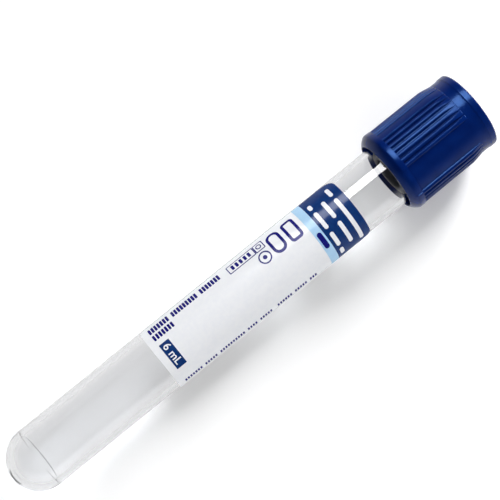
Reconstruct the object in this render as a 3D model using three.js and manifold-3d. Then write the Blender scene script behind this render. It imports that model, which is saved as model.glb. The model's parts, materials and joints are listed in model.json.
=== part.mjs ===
// Blood collection tube, 13 x 100 mm, with a ribbed shield cap over a rubber stopper.
//
// Four pieces, as they come apart on a bench: the clear round-bottomed tube, its
// self-adhesive label, the rubber stopper and the plastic cap that holds the stopper.
// Each piece is built standing on the tube's round end, with the tube's axis on +Z and
// z = 0 at the tip of the dome. The last section lays the whole tube on its side, as it
// comes to rest: on the cap's ring at one end and on the dome at the other.
// Millimetres, +Z up.

import * as THREE from 'three';
import { mergeVertices } from 'three/addons/utils/BufferGeometryUtils.js';
import Module from 'manifold-3d';

const wasm = await Module();
wasm.setup();

// ---------------------------------------------------------------- driving dimensions

// Tube: an injection-moulded cylinder with a little draft and a hemispherical end.
const TUBE_LENGTH = 100;
const TUBE_MOUTH_DIAMETER = 13.0;
const TUBE_FOOT_DIAMETER = 12.92;
const WALL_AT_MOUTH = 1.05;
const WALL_AT_FOOT = 1.2;
const FLOOR_THICKNESS = 1.5;
const RIM_ROUNDING = 0.35;
const GATE_DIAMETER = 3.6;
const GATE_HEIGHT = 0.05;

// Label: a rounded rectangle wrapped part of the way round the tube.
const LABEL_START = 36.05;
const LABEL_LENGTH = 47.65;
const LABEL_WIDTH = 18.2;
const LABEL_THICKNESS = 0.09;
const LABEL_GAP = 0.05;
const LABEL_TOP_CORNER = 2.6;
const LABEL_FOOT_CORNER = 1.0;
const LABEL_TURN = 18;

// Cap: ring at the open end, ribs with tapered ends, smooth waist and lip.
const CAP_LENGTH = 21.5;
const CAP_OVERLAP = 6.8;
const SKIRT_GAP_AT_MOUTH = 0.65;
const SKIRT_GAP_AT_EDGE = 0.75;
const SKIRT_LEAD_IN = 0.1;
const SKIRT_WALL = 1.17;
const RING_PROUD = 0.63;
const RING_LENGTH = 2.75;
const RING_BEVEL_HEIGHT = 1.5;
const RING_BEVEL_WIDTH = 1.45;
const RING_BEVEL_BULGE = 0.1;
const RING_FLAT_DEPTH = 0.12;
const RIB_PROUD_AT_RING = 0.52;
const RIB_PROUD_AT_TAPER = 0.46;
const RIB_TAPER_LENGTH = 3.4;
const RIB_CREST_WIDTH = 0.62;
const RIB_ROOT_FLAT = 0.14;
const RIBS_PER_SIDE = 17;
const WIDE_RIB = 9;
const WIDE_RIB_STEPS = 4;
const SMOOTH_ZONE_ANGLE = 49.2;
const CAP_TURN = 40;
const LIP_LENGTH = 2.9;
const LIP_PROUD = 0.13;
const LIP_WALL = 1.6;
const LIP_ROUNDING = 0.45;
const WELL_DRAFT = 0.5;

// Closure fit: the cap's web sits in the stopper's neck, and the plug fills the bore.
const SEAT_GAP = 0.1;
const WEB_THICKNESS = 1.8;
const WEB_DEPTH = 1.2;
const PLUG_DEPTH = 6.3;
const PLUG_CLEARANCE = 0.05;
const PLUG_LEAD_LENGTH = 1.2;
const PLUG_LEAD_RELIEF = 0.32;
const PLUG_GROOVE_WIDTH = 1.0;
const PLUG_GROOVE_DEPTH = 0.3;
const PLUG_RIM_WALL = 1.6;
const PLUG_RECESS_DEPTH = 4.8;
const FLANGE_THICKNESS = 2.2;
const FLANGE_CLEARANCE = 0.15;
const NECK_CLEARANCE = 0.1;
const HEAD_THICKNESS = 3.0;
const HEAD_CLEARANCE = 0.12;
const DIMPLE_RADIUS = 2.6;
const DIMPLE_DEPTH = 4.0;
const EDGE_ROUNDING = 0.4;

// Facets round every turned piece: a multiple of four, so that a flat lies underneath.
const FACETS = 56;
const ARC_STEPS = 4;
const EDGE_STEPS = 2;
const DOME_STEPS = 9;
const LABEL_COLUMNS = 36;
const LABEL_CORNER_STEPS = 5;

// ---------------------------------------------------------------- worked-out places

const mouthRadius = TUBE_MOUTH_DIAMETER / 2;
const footRadius = TUBE_FOOT_DIAMETER / 2;
const boreMouthRadius = mouthRadius - WALL_AT_MOUTH;
const boreFootRadius = footRadius - WALL_AT_FOOT;
const boreFootZ = FLOOR_THICKNESS + boreFootRadius;

const capEdgeZ = TUBE_LENGTH - CAP_OVERLAP;
const capTopZ = capEdgeZ + CAP_LENGTH;
const bevelTopZ = capEdgeZ + RING_BEVEL_HEIGHT;
const ringTopZ = capEdgeZ + RING_LENGTH;
const taperEndZ = capTopZ - LIP_LENGTH;
const taperStartZ = taperEndZ - RIB_TAPER_LENGTH;

const skirtMouthRadius = mouthRadius + SKIRT_GAP_AT_MOUTH;
const skirtEdgeRadius = mouthRadius + SKIRT_GAP_AT_EDGE;
const barrelRadius = skirtMouthRadius + SKIRT_WALL;
const ringRadius = barrelRadius + RING_PROUD;
const lipRadius = barrelRadius + LIP_PROUD;

const flangeBottomZ = TUBE_LENGTH + SEAT_GAP;
const flangeTopZ = flangeBottomZ + FLANGE_THICKNESS;
const webBottomZ = flangeTopZ + SEAT_GAP;
const webTopZ = webBottomZ + WEB_THICKNESS;
const headBottomZ = webTopZ + SEAT_GAP;
const headTopZ = headBottomZ + HEAD_THICKNESS;
const wellTopRadius = lipRadius - LIP_WALL;
const wellFloorRadius = wellTopRadius - WELL_DRAFT;
const webBoreRadius = wellFloorRadius - WEB_DEPTH;

const degrees = THREE.MathUtils.degToRad;

// ---------------------------------------------------------------- helpers

// A straight taper between two radii, read at any height.
function taper(z, z0, radius0, z1, radius1) {
  return THREE.MathUtils.mapLinear(z, z0, z1, radius0, radius1);
}

const tubeRadiusAt = (z) => taper(z, footRadius, footRadius, TUBE_LENGTH, mouthRadius);
const boreRadiusAt = (z) => taper(z, boreFootZ, boreFootRadius, TUBE_LENGTH, boreMouthRadius);

// Points on an arc in the (radius, height) plane. Angles in degrees, 0 along +radius.
function arc(centreR, centreZ, radius, from, to, steps = ARC_STEPS) {
  const points = [];
  for (let i = 0; i <= steps; i += 1) {
    const angle = degrees(from + ((to - from) * i) / steps);
    points.push([centreR + radius * Math.cos(angle), centreZ + radius * Math.sin(angle)]);
  }
  return points;
}

// A small rounding on an edge of the rubber.
function edge(centreR, centreZ, from, to) {
  return arc(centreR, centreZ, EDGE_ROUNDING, from, to, EDGE_STEPS);
}

// Turns an outline of [radius, height] pairs about +Z, with a flat facet facing +X.
function revolve(outline) {
  const points = outline.map(([r, z]) => new THREE.Vector2(Math.max(r, 0), z));
  const halfFacet = Math.PI / FACETS;
  return new THREE.LatheGeometry(points, FACETS, halfFacet).rotateX(Math.PI / 2);
}

function toSolid(geometry) {
  const bare = geometry.clone();
  bare.deleteAttribute('normal');
  bare.deleteAttribute('uv');
  const merged = mergeVertices(bare, 1e-5);
  return new wasm.Manifold(new wasm.Mesh({
    numProp: 3,
    vertProperties: new Float32Array(merged.attributes.position.array),
    triVerts: new Uint32Array(merged.index.array),
  }));
}

function toGeometry(solid) {
  const mesh = solid.getMesh();
  const geometry = new THREE.BufferGeometry();
  geometry.setAttribute('position', new THREE.BufferAttribute(mesh.vertProperties, 3));
  geometry.setIndex(new THREE.BufferAttribute(mesh.triVerts, 1));
  const faceted = geometry.toNonIndexed();
  faceted.computeVertexNormals();
  return faceted;
}

function plastic(color, roughness, extra = {}) {
  return new THREE.MeshStandardMaterial({ color, roughness, metalness: 0, ...extra });
}

// ---------------------------------------------------------------- tube

// The wall is thicker at the dome; the small disc at the pole is the moulding gate.
function buildTube() {
  const gateRadius = GATE_DIAMETER / 2;
  const gateAngle = THREE.MathUtils.radToDeg(Math.acos(gateRadius / footRadius));
  const gateRootZ = footRadius - Math.sqrt(footRadius ** 2 - gateRadius ** 2);
  const outside = [
    [0, gateRootZ - GATE_HEIGHT],
    [gateRadius, gateRootZ - GATE_HEIGHT],
    ...arc(0, footRadius, footRadius, -gateAngle, 0, DOME_STEPS),
    ...arc(mouthRadius - RIM_ROUNDING, TUBE_LENGTH - RIM_ROUNDING, RIM_ROUNDING, 0, 90),
  ];
  const inside = [
    ...arc(boreMouthRadius + RIM_ROUNDING, TUBE_LENGTH - RIM_ROUNDING, RIM_ROUNDING, 90, 180),
    ...arc(0, boreFootZ, boreFootRadius, 0, -90, DOME_STEPS),
  ];
  return revolve([...outside, ...inside]);
}

// ---------------------------------------------------------------- label

// Half the label's width at a distance from its foot, allowing for its round corners.
function labelHalfWidth(distance) {
  const fromFoot = Math.max(LABEL_FOOT_CORNER - distance, 0);
  const fromTop = Math.max(LABEL_TOP_CORNER - (LABEL_LENGTH - distance), 0);
  const footInset = LABEL_FOOT_CORNER - Math.sqrt(LABEL_FOOT_CORNER ** 2 - fromFoot ** 2);
  const topInset = LABEL_TOP_CORNER - Math.sqrt(LABEL_TOP_CORNER ** 2 - fromTop ** 2);
  return LABEL_WIDTH / 2 - footInset - topInset;
}

// Rows of the label's grid: close together round the corners, far apart between them.
function labelRows() {
  const rows = [];
  for (let i = 0; i <= LABEL_CORNER_STEPS; i += 1) {
    const rise = 1 - Math.cos(degrees((90 * i) / LABEL_CORNER_STEPS));
    rows.push(LABEL_FOOT_CORNER * rise, LABEL_LENGTH - LABEL_TOP_CORNER * rise);
  }
  return rows.sort((a, b) => a - b);
}

// A closed sheet: an outer and an inner grid on the tube's cone, joined round the edge.
function buildLabel() {
  const rows = labelRows();
  const columns = LABEL_COLUMNS + 1;
  const positions = [];
  for (const lift of [LABEL_GAP, LABEL_GAP + LABEL_THICKNESS]) {
    for (const distance of rows) {
      const z = LABEL_START + distance;
      const radius = tubeRadiusAt(z) + lift;
      for (let j = 0; j < columns; j += 1) {
        const along = labelHalfWidth(distance) * ((2 * j) / LABEL_COLUMNS - 1);
        const angle = Math.PI + along / tubeRadiusAt(z);
        positions.push(radius * Math.cos(angle), radius * Math.sin(angle), z);
      }
    }
  }
  const layer = rows.length * columns;
  const index = [];
  const quad = (a, b, c, d) => index.push(a, b, c, a, c, d);
  for (let i = 0; i < rows.length - 1; i += 1) {
    for (let j = 0; j < LABEL_COLUMNS; j += 1) {
      const a = i * columns + j;
      quad(layer + a, layer + a + 1, layer + a + 1 + columns, layer + a + columns);
      quad(a, a + columns, a + 1 + columns, a + 1);
    }
  }
  const rim = [];
  for (let j = 0; j < LABEL_COLUMNS; j += 1) rim.push(j);
  for (let i = 0; i < rows.length - 1; i += 1) rim.push(i * columns + LABEL_COLUMNS);
  for (let j = LABEL_COLUMNS; j > 0; j -= 1) rim.push((rows.length - 1) * columns + j);
  for (let i = rows.length - 1; i > 0; i -= 1) rim.push(i * columns);
  rim.forEach((a, k) => {
    const b = rim[(k + 1) % rim.length];
    quad(a, b, layer + b, layer + a);
  });
  const geometry = new THREE.BufferGeometry();
  geometry.setAttribute('position', new THREE.Float32BufferAttribute(positions, 3));
  geometry.setIndex(index);
  const faceted = geometry.toNonIndexed();
  faceted.computeVertexNormals();
  return faceted;
}

// ---------------------------------------------------------------- stopper

// Plug with a stepped lead-in and a groove between two sealing bands, flange on the
// tube's mouth, neck for the cap's web, and a head with the needle's dimple.
function buildStopper() {
  const plugEndZ = TUBE_LENGTH - PLUG_DEPTH;
  const leadTopZ = plugEndZ + PLUG_LEAD_LENGTH;
  const grooveMiddleZ = (leadTopZ + TUBE_LENGTH) / 2;
  const grooveLowZ = grooveMiddleZ - PLUG_GROOVE_WIDTH / 2;
  const grooveHighZ = grooveMiddleZ + PLUG_GROOVE_WIDTH / 2;
  const bandRadius = (z) => boreRadiusAt(z) - PLUG_CLEARANCE;
  const leadRadius = bandRadius(plugEndZ) - PLUG_LEAD_RELIEF;
  const recessRadius = leadRadius - PLUG_RIM_WALL;
  const recessTopZ = plugEndZ + PLUG_RECESS_DEPTH;
  const flangeRadius = skirtMouthRadius - FLANGE_CLEARANCE;
  const neckRadius = webBoreRadius - NECK_CLEARANCE;
  const headRadius = wellFloorRadius - HEAD_CLEARANCE;
  const round = EDGE_ROUNDING;
  return revolve([
    [0, recessTopZ],
    ...edge(recessRadius - round, recessTopZ - round, 90, 0),
    ...edge(recessRadius + round, plugEndZ + round, 180, 270),
    ...edge(leadRadius - round, plugEndZ + round, -90, 0),
    [leadRadius, leadTopZ - PLUG_LEAD_RELIEF],
    [bandRadius(leadTopZ), leadTopZ],
    [bandRadius(grooveLowZ), grooveLowZ],
    [bandRadius(grooveLowZ) - PLUG_GROOVE_DEPTH, grooveLowZ + PLUG_GROOVE_DEPTH],
    [bandRadius(grooveHighZ) - PLUG_GROOVE_DEPTH, grooveHighZ - PLUG_GROOVE_DEPTH],
    [bandRadius(grooveHighZ), grooveHighZ],
    [bandRadius(TUBE_LENGTH), flangeBottomZ],
    [flangeRadius, flangeBottomZ],
    ...edge(flangeRadius - round, flangeTopZ - round, 0, 90),
    [neckRadius, flangeTopZ],
    [neckRadius, headBottomZ],
    ...edge(headRadius - round, headBottomZ + round, -90, 0),
    ...edge(headRadius - round, headTopZ - round, 0, 90),
    ...edge(DIMPLE_RADIUS + round, headTopZ - round, 90, 180),
    ...arc(0, headTopZ - DIMPLE_DEPTH + DIMPLE_RADIUS, DIMPLE_RADIUS, 0, -90),
  ]);
}

// ---------------------------------------------------------------- cap

// The turned body: ring, barrel, lip, open well, web and skirt.
function capBody() {
  const bevelMiddleRadius = ringRadius - RING_BEVEL_WIDTH / 2;
  const bevelMiddleZ = (capEdgeZ + bevelTopZ) / 2;
  const lipInner = LIP_ROUNDING / 2;
  return revolve([
    [skirtEdgeRadius + SKIRT_LEAD_IN, capEdgeZ],
    [ringRadius - RING_BEVEL_WIDTH, capEdgeZ],
    [bevelMiddleRadius + RING_BEVEL_BULGE, bevelMiddleZ - RING_BEVEL_BULGE],
    [ringRadius, bevelTopZ],
    [ringRadius, ringTopZ],
    [barrelRadius, ringTopZ],
    [barrelRadius, taperEndZ],
    [lipRadius, taperEndZ + LIP_LENGTH / 2],
    ...arc(lipRadius - LIP_ROUNDING, capTopZ - LIP_ROUNDING, LIP_ROUNDING, 0, 90),
    ...arc(wellTopRadius + lipInner, capTopZ - lipInner, lipInner, 90, 180, EDGE_STEPS),
    [wellFloorRadius, webTopZ],
    [webBoreRadius, webTopZ],
    [webBoreRadius, webBottomZ],
    [skirtMouthRadius, webBottomZ],
    [skirtEdgeRadius, capEdgeZ + SKIRT_LEAD_IN * 2],
    [skirtEdgeRadius + SKIRT_LEAD_IN, capEdgeZ],
  ]);
}

// One rib: a prism that starts inside the ring and is widest where it meets the barrel.
function ribPrism(pitch) {
  const rootHalf = barrelRadius * Math.tan(degrees(pitch / 2)) - RIB_ROOT_FLAT / 2;
  const crestHalf = RIB_CREST_WIDTH / 2;
  const crestRadius = barrelRadius + RIB_PROUD_AT_RING;
  const buried = barrelRadius - SKIRT_WALL / 3;
  const flankSlope = (rootHalf - crestHalf) / (crestRadius - barrelRadius);
  const outer = crestRadius + crestHalf / flankSlope;
  const section = new THREE.Shape([
    new THREE.Vector2(buried, -rootHalf),
    new THREE.Vector2(barrelRadius, -rootHalf),
    new THREE.Vector2(outer, 0),
    new THREE.Vector2(barrelRadius, rootHalf),
    new THREE.Vector2(buried, rootHalf),
  ]);
  const start = ringTopZ - RING_LENGTH / 4;
  const length = taperEndZ - start;
  return new THREE.ExtrudeGeometry(section, { depth: length, bevelEnabled: false })
    .translate(0, 0, start);
}

// The surface that the rib crests are turned to: straight, then tapering to the waist.
function ribEnvelope() {
  return revolve([
    [0, capEdgeZ + RING_LENGTH / 2],
    [barrelRadius + RIB_PROUD_AT_RING, capEdgeZ + RING_LENGTH / 2],
    [barrelRadius + RIB_PROUD_AT_RING, ringTopZ],
    [barrelRadius + RIB_PROUD_AT_TAPER, taperStartZ],
    [barrelRadius - RIB_ROOT_FLAT, taperEndZ],
    [0, taperEndZ],
  ]);
}

// The ring is a little shallower beside each smooth zone of the barrel.
function ringFlat(angle) {
  const section = new THREE.Shape();
  const inner = ringRadius - RING_FLAT_DEPTH;
  section.absarc(0, 0, ringRadius * 1.2, -angle / 2, angle / 2, false);
  section.absarc(0, 0, inner, angle / 2, -angle / 2, true);
  const length = ringTopZ - bevelTopZ + SEAT_GAP;
  return new THREE.ExtrudeGeometry(section, { depth: length, bevelEnabled: false, curveSegments: 12 })
    .translate(0, 0, bevelTopZ);
}

// Two groups of ribs, with a smooth zone of the barrel between them on each side. In each
// group, one pair of ribs is run together into a wide one.
function buildCap() {
  const pitch = (180 - SMOOTH_ZONE_ANGLE) / (RIBS_PER_SIDE - 1);
  const rib = toSolid(ribPrism(pitch));
  const flat = toSolid(ringFlat(degrees(SMOOTH_ZONE_ANGLE - pitch)));
  const ribPlaces = Array.from({ length: RIBS_PER_SIDE }, (_, i) => i);
  for (let i = 1; i < WIDE_RIB_STEPS; i += 1) ribPlaces.push(WIDE_RIB + i / WIDE_RIB_STEPS);
  const ribs = [];
  const flats = [];
  for (const front of [CAP_TURN, CAP_TURN + 180]) {
    flats.push(flat.rotate([0, 0, front]));
    for (const place of ribPlaces) {
      ribs.push(rib.rotate([0, 0, front + SMOOTH_ZONE_ANGLE / 2 + place * pitch]));
    }
  }
  const grip = wasm.Manifold.union(ribs).intersect(toSolid(ribEnvelope()));
  const cap = toSolid(capBody()).add(grip).subtract(wasm.Manifold.union(flats));
  return toGeometry(cap);
}

// ---------------------------------------------------------------- assembly

const MATERIALS = {
  tube: plastic(0xe9eef2, 0.08, { transparent: true, opacity: 0.35 }),
  label: plastic(0xf3f5fb, 0.35),
  stopper: plastic(0x2b2d31, 0.6),
  cap: plastic(0x0f2f7a, 0.38),
};

function piece(name, geometry, turn = 0) {
  const mesh = new THREE.Mesh(geometry, MATERIALS[name]);
  mesh.name = name;
  mesh.rotation.z = degrees(turn);
  return mesh;
}

// The side that ends on top when the tube is laid down is -X. A positive turn moves the
// front of the label or of the cap's ribs from there towards -Y.
const upright = new THREE.Group();
upright.add(piece('tube', buildTube()));
upright.add(piece('label', buildLabel(), LABEL_TURN));
upright.add(piece('stopper', buildStopper()));
upright.add(piece('cap', buildCap(), 180));

// Laid on its side: the axis turns from +Z to +X and rises from the dome to the ring.
const restTilt = Math.atan2(ringRadius - footRadius, bevelTopZ - footRadius);
upright.rotation.y = Math.PI / 2 - restTilt;

// The origin is under the middle of the whole tube, on the surface that it lies on.
const model = new THREE.Group();
model.add(upright);
model.updateMatrixWorld(true);
const box = new THREE.Box3().setFromObject(model, true);
upright.position.set(-(box.min.x + box.max.x) / 2, -(box.min.y + box.max.y) / 2, -box.min.z);

export default model;
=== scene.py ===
# %% [markdown]
# # A blood collection tube, lying on its side
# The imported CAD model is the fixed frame: it says how long and how wide each piece is and
# where it lies. This script builds a finer, shaded version of every piece in that same
# place. It works in metres, and each cell prints what it made.

# %% Load the frame
import json
import math

import bmesh
import bpy
from mathutils import Matrix, Vector


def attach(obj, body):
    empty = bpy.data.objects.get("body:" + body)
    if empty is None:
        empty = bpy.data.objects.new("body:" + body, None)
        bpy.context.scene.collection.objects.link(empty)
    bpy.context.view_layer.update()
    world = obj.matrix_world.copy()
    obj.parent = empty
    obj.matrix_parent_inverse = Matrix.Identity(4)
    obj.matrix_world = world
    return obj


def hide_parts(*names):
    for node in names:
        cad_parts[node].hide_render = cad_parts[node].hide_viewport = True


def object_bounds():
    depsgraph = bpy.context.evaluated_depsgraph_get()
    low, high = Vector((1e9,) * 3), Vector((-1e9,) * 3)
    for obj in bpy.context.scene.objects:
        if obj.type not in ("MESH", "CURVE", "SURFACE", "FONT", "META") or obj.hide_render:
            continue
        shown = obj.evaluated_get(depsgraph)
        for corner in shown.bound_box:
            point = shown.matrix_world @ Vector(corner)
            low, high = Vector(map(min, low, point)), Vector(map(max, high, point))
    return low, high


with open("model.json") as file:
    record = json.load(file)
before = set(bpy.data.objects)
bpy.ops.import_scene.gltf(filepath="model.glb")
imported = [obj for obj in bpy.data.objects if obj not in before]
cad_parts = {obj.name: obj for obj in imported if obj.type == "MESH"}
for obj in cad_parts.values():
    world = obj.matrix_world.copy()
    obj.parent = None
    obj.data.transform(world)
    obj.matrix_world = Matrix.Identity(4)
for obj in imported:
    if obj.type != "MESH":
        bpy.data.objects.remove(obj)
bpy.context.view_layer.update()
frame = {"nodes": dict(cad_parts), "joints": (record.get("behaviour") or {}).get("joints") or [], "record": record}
MM = 0.001
print("CAD nodes:", sorted(frame["nodes"]))

# %% [markdown]
# ## Where the tube lies
# Every piece is turned about one line, the tube's axis. It is far easier to draw such a
# piece standing up, with the axis on Z, and to lay it down once its mesh is done. The joint
# in the frame gives the axis direction, and the flat face of the stopper gives a point on
# it. The matrix `LAY` then takes a standing point to its place. Applying it to the mesh, and
# not to the object, leaves every object at the origin.

# %% The standing frame and the matrix that lays it down
TUBE_LENGTH = 100 * MM

axis = Vector(frame["joints"][0]["axis"]).normalized()
mounts = {mount["name"]: mount for mount in frame["record"]["mounts"]}
septum_x, _, septum_z = mounts["septum_face"]["pos_m"]
on_axis = Vector((septum_x, 0, septum_z))


def reach(node, start=on_axis):
    """Lowest and highest place along the axis, and the largest radius, of a CAD node."""
    places = [vertex.co - start for vertex in frame["nodes"][node].data.vertices]
    along = [place.dot(axis) for place in places]
    out = [(place - place.dot(axis) * axis).length for place in places]
    return min(along), max(along), max(out)


dome_tip = on_axis + (reach("tube")[1] - TUBE_LENGTH) * axis
side = Vector((0, 1, 0))
LAY = Matrix.Translation(dome_tip) @ Matrix((side.cross(axis), side, axis)).transposed().to_4x4()

gate_z, _, mouth_radius = reach("tube", dome_tip)
plug_end, head_top, flange_radius = reach("stopper", dome_tip)
cap_edge, cap_top, ring_radius = reach("cap", dome_tip)
label_foot, label_top, _ = reach("label", dome_tip)
for name, low, high in (("stopper", plug_end, head_top), ("cap", cap_edge, cap_top)):
    print(f"{name}: {low / MM:.2f} to {high / MM:.2f} mm from the dome's tip")

# %% [markdown]
# ## A helper for turned pieces
# A lathe or a mould for a round piece is drawn as one outline of radius and height. The
# Screw modifier can turn such an outline, but a few lines of mesh code also allow extra
# columns where a piece has a step, and a radius that changes round the piece. The shell is
# always closed, and its normals are worked out only after doubles are merged.

# %% Points along an outline
COLUMNS = 192


def arc(centre_r, centre_z, radius, start, end, steps=8):
    """Points on an arc in the (radius, height) plane, with angles in degrees."""
    angles = [math.radians(start + (end - start) * i / steps) for i in range(steps + 1)]
    return [(centre_r + radius * math.cos(a), centre_z + radius * math.sin(a)) for a in angles]


def straight(r0, z0, r1, z1, rows=6):
    """Points along a straight wall, crowded at both ends so that its shading stays flat."""
    shares = [0.01] + [i / rows for i in range(1, rows)] + [0.99]
    return [(r0 + (r1 - r0) * s, z0 + (z1 - z0) * s) for s in shares]


def even_angles(count=COLUMNS):
    return [2 * math.pi * i / count for i in range(count)]


print("columns round a turned piece:", len(even_angles()))

# %% A mesh turned from an outline
def turned(name, outline, angles=None, radius_at=None):
    """A closed shell turned from an outline that ends on the axis or meets its own start."""
    angles = angles or even_angles()
    bm = bmesh.new()
    rings = []
    for r, z in outline:
        if r < 1e-9:
            rings.append([bm.verts.new((0, 0, z))])
            continue
        radii = [radius_at(a, r, z) if radius_at else r for a in angles]
        rings.append([bm.verts.new((q * math.cos(a), q * math.sin(a), z))
                      for q, a in zip(radii, angles)])
    open_ended = len(rings[0]) == 1
    pairs = list(zip(rings, rings[1:])) + ([] if open_ended else [(rings[-1], rings[0])])
    for lower, upper in pairs:
        for i in range(len(angles)):
            j = (i + 1) % len(angles)
            corners = [lower[i % len(lower)], lower[j % len(lower)],
                       upper[j % len(upper)], upper[i % len(upper)]]
            bm.faces.new(list(dict.fromkeys(corners)))
    return finished_mesh(name, bm)


def finished_mesh(name, bm):
    bmesh.ops.remove_doubles(bm, verts=bm.verts, dist=1e-7)
    bmesh.ops.recalc_face_normals(bm, faces=bm.faces)
    mesh = bpy.data.meshes.new(name)
    bm.to_mesh(mesh)
    bm.free()
    return mesh


# %% [markdown]
# ## A helper that adds a piece
# Each piece is laid down in its mesh, shaded smooth up to a crease angle, and given its
# material. It then rides on the body that the real piece moves with, and stands for the plain
# CAD node that it replaces.

# %% Objects and pieces
SMOOTH_UP_TO = math.radians(28)


def new_object(name, data):
    """An object in the scene."""
    made = bpy.data.objects.new(name, data)
    bpy.context.scene.collection.objects.link(made)
    return made


def add_piece(name, mesh, body, material, stands_for=()):
    """Lays a standing mesh down and makes it a piece that rides on a body."""
    mesh.transform(LAY)
    mesh.shade_smooth()
    mesh.set_sharp_from_angle(angle=SMOOTH_UP_TO)
    mesh.materials.clear()
    mesh.materials.append(material)
    piece = new_object(name, mesh)
    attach(piece, body)
    if stands_for:
        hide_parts(*stands_for)
    print(f"{name}: {len(mesh.polygons)} faces on {body}")
    return piece


# %% [markdown]
# ## Helpers for nodes and materials
# Shader trees and geometry trees are both built with `add_node`. It fills the inputs of a
# node in order or by name, from other nodes' sockets or with plain values. Each finish is a
# Principled shader. Numbers that are the same all over sit on the shader's own sockets, and
# only what varies comes through nodes: a little noise in the roughness and a fine bump are
# what tell plastic, rubber and paper apart. The noise reads Object coordinates, whose unit
# here is a metre, so scales are in hundreds per metre.

# %% Helpers for nodes
def feed(tree, socket, value):
    """Links another node's socket to an input, or gives the input a plain value."""
    if isinstance(value, bpy.types.NodeSocket):
        tree.links.new(value, socket)
    else:
        socket.default_value = value


def add_node(tree, kind, *in_order, **named):
    """A node with its inputs filled in order or by name, and with settings of its own."""
    node = tree.nodes.new(kind)
    for key, value in named.items():
        if isinstance(getattr(node, key, None), (str, int, float, bool)):
            setattr(node, key, value)
        else:
            feed(tree, node.inputs[key.replace("_", " ")], value)
    for socket, value in zip(node.inputs, in_order):
        feed(tree, socket, value)
    return node


def calculate(tree, operation, first, second=0.0):
    """A Math node on sockets or plain numbers."""
    return add_node(tree, "ShaderNodeMath", first, second, operation=operation).outputs[0]


# %% Helpers for materials
def new_material(name, **values):
    """A Principled material with constant values. Returns it, its tree and its shader."""
    material = bpy.data.materials.new(name)
    material.use_nodes = True
    tree = material.node_tree
    shader = tree.nodes["Principled BSDF"]
    for key, value in values.items():
        feed(tree, shader.inputs[key.replace("_", " ")], value)
    return material, tree, shader


def object_noise(tree, scale, detail):
    """A noise texture on Object coordinates."""
    place = add_node(tree, "ShaderNodeTexCoord")
    return add_node(tree, "ShaderNodeTexNoise", Vector=place.outputs["Object"], Scale=scale,
                    Detail=detail).outputs["Fac"]


def vary_roughness(tree, shader, noise, low, high):
    """Roughness that wanders between two values with a noise."""
    ramp = add_node(tree, "ShaderNodeMapRange", Value=noise, From_Min=0.3, From_Max=0.7,
                    To_Min=low, To_Max=high)
    tree.links.new(ramp.outputs["Result"], shader.inputs["Roughness"])


def vary_colour(tree, shader, noise, dark, light):
    """Base colour that wanders between two near shades with a noise."""
    ramp = add_node(tree, "ShaderNodeValToRGB", Fac=noise)
    for element, position, colour in zip(ramp.color_ramp.elements, (0.35, 0.65), (dark, light)):
        element.position = position
        element.color = (*colour, 1)
    tree.links.new(ramp.outputs["Color"], shader.inputs["Base Color"])


def add_bump(tree, shader, noise, height):
    """A bump of a real height, in metres."""
    bump = add_node(tree, "ShaderNodeBump", Height=noise, Strength=1.0, Distance=height)
    tree.links.new(bump.outputs["Normal"], shader.inputs["Normal"])


def mix_shaders(tree, share, first, second):
    """Two shaders mixed by a socket that gives the second one's share."""
    return add_node(tree, "ShaderNodeMixShader", share, first, second).outputs["Shader"]


def show(tree, surface):
    """Makes a shader the material's surface."""
    tree.links.new(surface, tree.nodes["Material Output"].inputs["Surface"])


# %% [markdown]
# ## Clear plastic
# The tube is moulded in clear polyester. Full transmission and a nearly smooth skin give the
# sharp streaks of light along it. Light that passes a refracting wall makes noisy caustics,
# so for shadow rays the shader is swapped for a plain, slightly grey see-through one, and
# the tube throws the pale shadow that clear plastic does. The roughness wanders a little, as
# it does on a tube that has been handled.

# %% Clear plastic material
def make_clear_plastic():
    material, tree, shader = new_material(
        "clear_plastic", Base_Color=(0.945, 0.948, 0.956, 1), IOR=1.57,
        Transmission_Weight=1.0)
    vary_roughness(tree, shader, object_noise(tree, 150, 1), 0.001, 0.004)
    rays = add_node(tree, "ShaderNodeLightPath").outputs
    see_through = add_node(tree, "ShaderNodeBsdfTransparent", Color=(0.93, 0.94, 0.95, 1))
    show(tree, mix_shaders(tree, rays["Is Shadow Ray"], shader.outputs["BSDF"],
                           see_through.outputs["BSDF"]))
    return material


clear_plastic = make_clear_plastic()
print("made", clear_plastic.name)

# %% [markdown]
# ## The tube
# One outline runs up the outside and down the inside. The outside has the draft that lets
# the moulding leave its cavity, a hair-thin witness ring where the dome's insert meets the
# wall, and the small disc of the gate at the pole. The inside is a second, smaller dome, so
# the floor is thicker than the wall.

# %% Tube sizes
FOOT_RADIUS = 6.46 * MM
WALL_AT_MOUTH = 1.05 * MM
WALL_AT_FOOT = 1.2 * MM
FLOOR_THICKNESS = 1.5 * MM
RIM_ROUNDING = 0.35 * MM
GATE_RADIUS = 1.8 * MM
GATE_ROUNDING = 0.03 * MM
WITNESS_HEIGHT = 0.06 * MM
WITNESS_WIDTH = 0.16 * MM
DOME_ROWS = 40

bore_mouth_radius = mouth_radius - WALL_AT_MOUTH
bore_foot_radius = FOOT_RADIUS - WALL_AT_FOOT
bore_foot_z = FLOOR_THICKNESS + bore_foot_radius


def outer_radius(z):
    """The tube's outer radius at a height, with its draft."""
    share = (z - FOOT_RADIUS) / (TUBE_LENGTH - FOOT_RADIUS)
    return FOOT_RADIUS + (mouth_radius - FOOT_RADIUS) * share


def bore_radius(z):
    """The bore's radius at a height, with its draft."""
    share = (z - bore_foot_z) / (TUBE_LENGTH - bore_foot_z)
    return bore_foot_radius + (bore_mouth_radius - bore_foot_radius) * share


print(f"bore: {2 * bore_foot_radius / MM:.2f} mm at the foot, "
      f"{2 * bore_mouth_radius / MM:.2f} mm at the mouth")

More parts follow.
